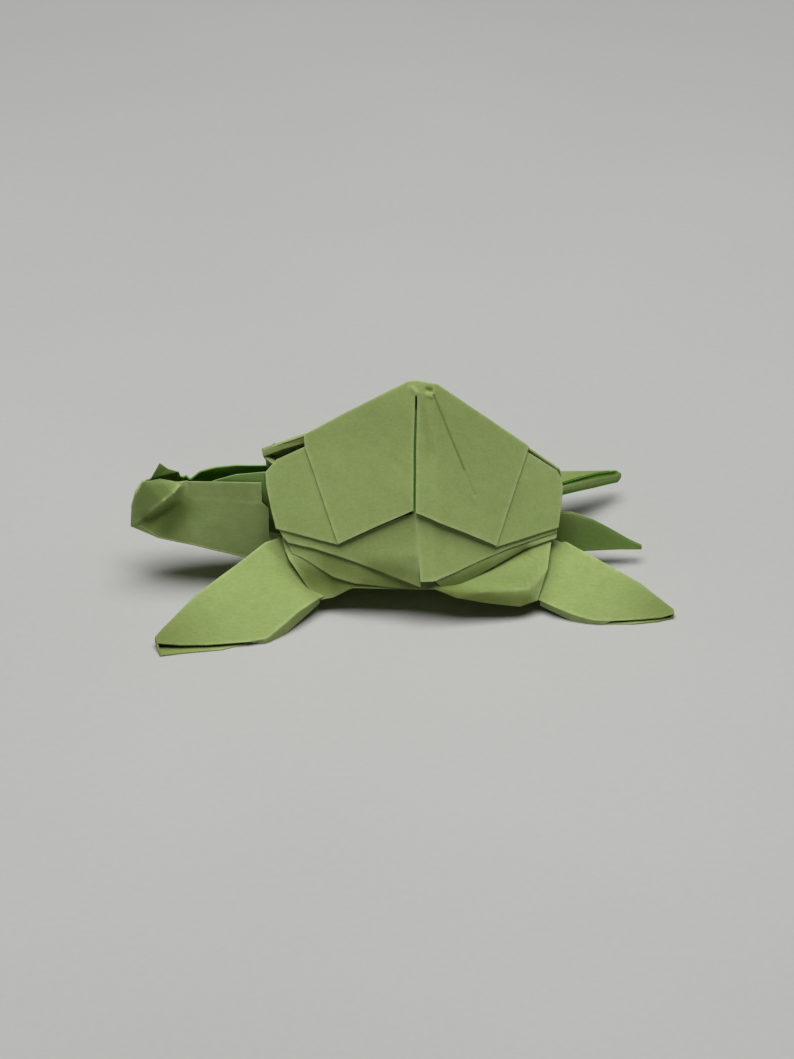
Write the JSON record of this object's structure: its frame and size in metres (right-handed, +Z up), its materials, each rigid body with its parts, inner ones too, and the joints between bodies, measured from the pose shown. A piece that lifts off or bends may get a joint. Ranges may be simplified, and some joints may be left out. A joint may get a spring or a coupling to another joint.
{
  "type": "origami turtle",
  "caption": "Small turtle folded from a square of green paper: a hollow four-sided shell with pleated sides, folded flippers, a pinched head and a pointed tail.",
  "frame": {"origin": "on the ground, under the middle of the turtle's box", "axes": "+X towards the tail, so the head is at -X; +Z up; the near side of the reference view is at -Y"},
  "size_m": [0.0754, 0.043, 0.0302],
  "materials": {
    "paper": "matte, with fine fibres and lighter rubbed folds"
  },
  "bodies": {
    "root": {"folded_sheet": "paper"}
  },
  "joints": []
}
